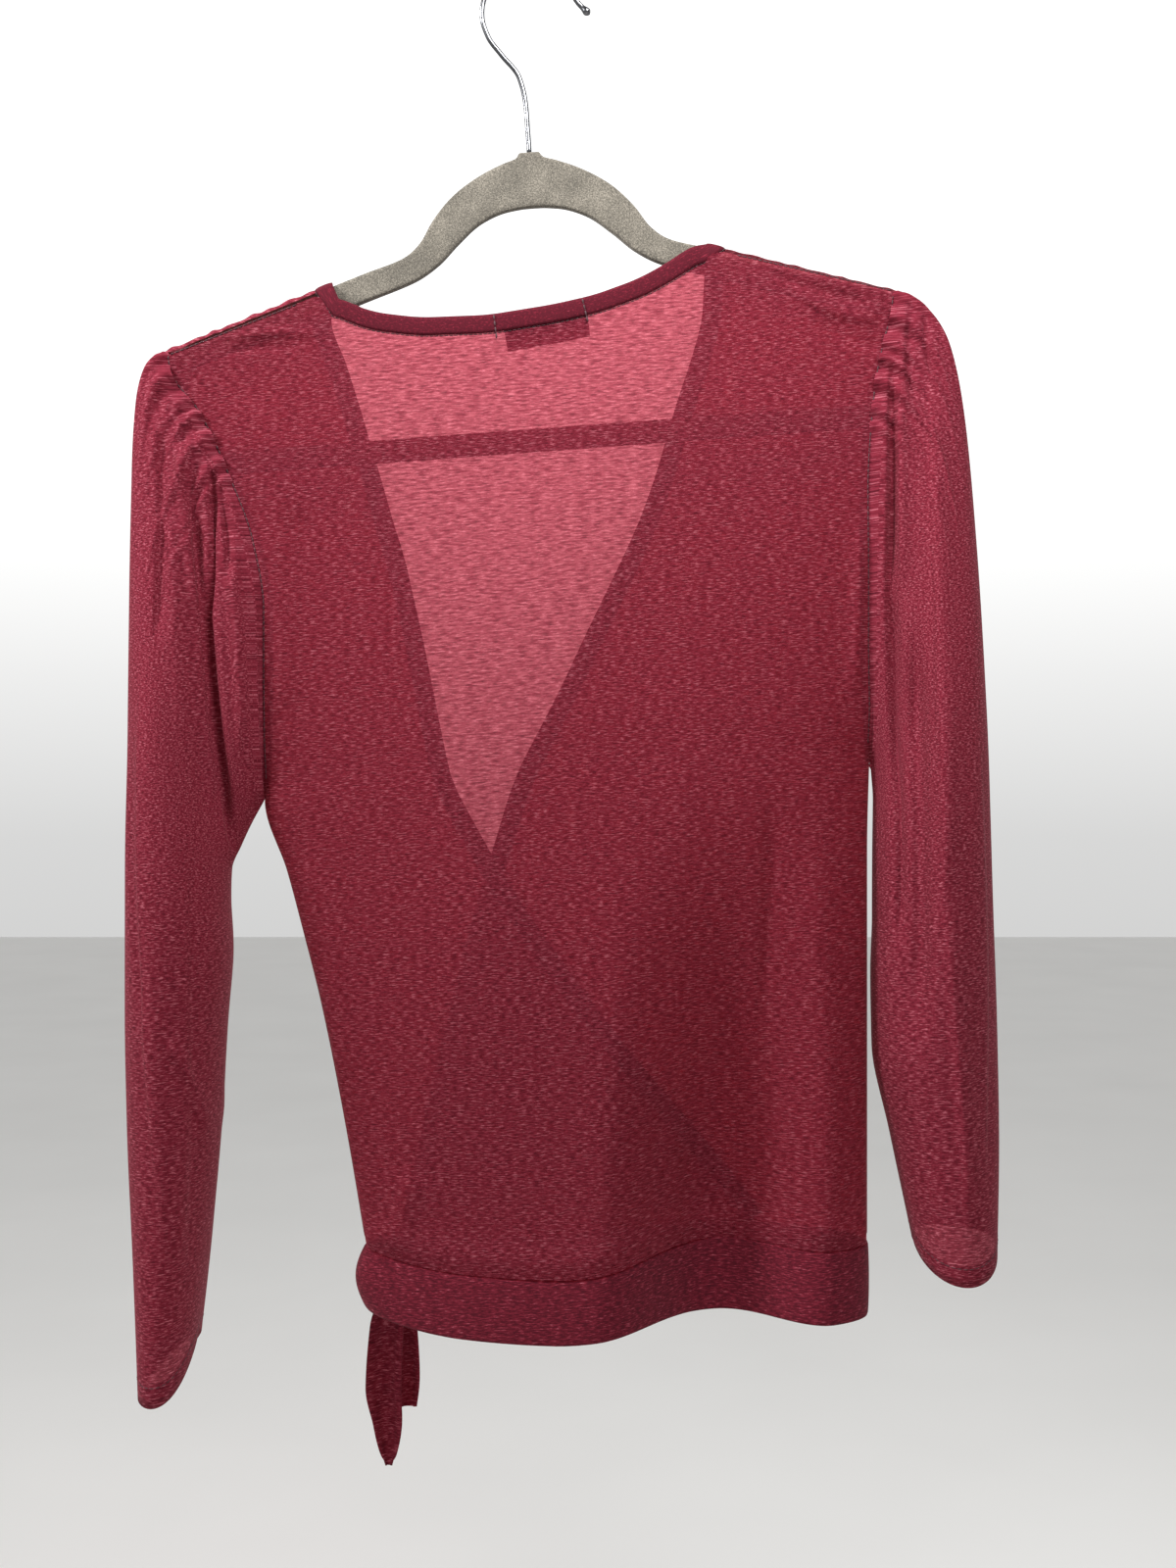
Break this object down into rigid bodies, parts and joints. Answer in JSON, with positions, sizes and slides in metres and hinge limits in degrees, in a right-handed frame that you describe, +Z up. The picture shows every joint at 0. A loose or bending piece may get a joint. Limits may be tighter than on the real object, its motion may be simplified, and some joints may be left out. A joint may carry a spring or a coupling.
{
  "type": "long sleeve knit top on a hanger",
  "caption": "Wrap-front knit top with long gathered sleeves and a side-tied waistband, hanging open at neck, cuffs and hem on a slim flocked hanger with a wire hook.",
  "frame": {"origin": "inside top of the hanger's hook, where a rail carries it", "axes": "+Z up, +X towards the wearer's right sleeve, +Y towards the garment's front; the back of the garment faces -Y"},
  "size_m": [0.467, 0.0934, 0.8162],
  "materials": {
    "heathered_knit": "fine heathered jersey, matt and slightly sheer",
    "woven_label": "plain woven patch, matt",
    "grey_velvet": "short flocked nap",
    "chrome_wire": "polished"
  },
  "bodies": {
    "root": {"back": "heathered_knit", "front_left": "heathered_knit", "front_right": "heathered_knit", "sleeve_left": "heathered_knit", "sleeve_right": "heathered_knit", "neck_binding": "heathered_knit", "neck_label": "woven_label", "waistband": "heathered_knit", "tie_knot": "heathered_knit", "tie_tail_long": "heathered_knit", "tie_tail_short": "heathered_knit", "hanger_body": "grey_velvet", "hanger_hook": "chrome_wire"}
  },
  "joints": []
}
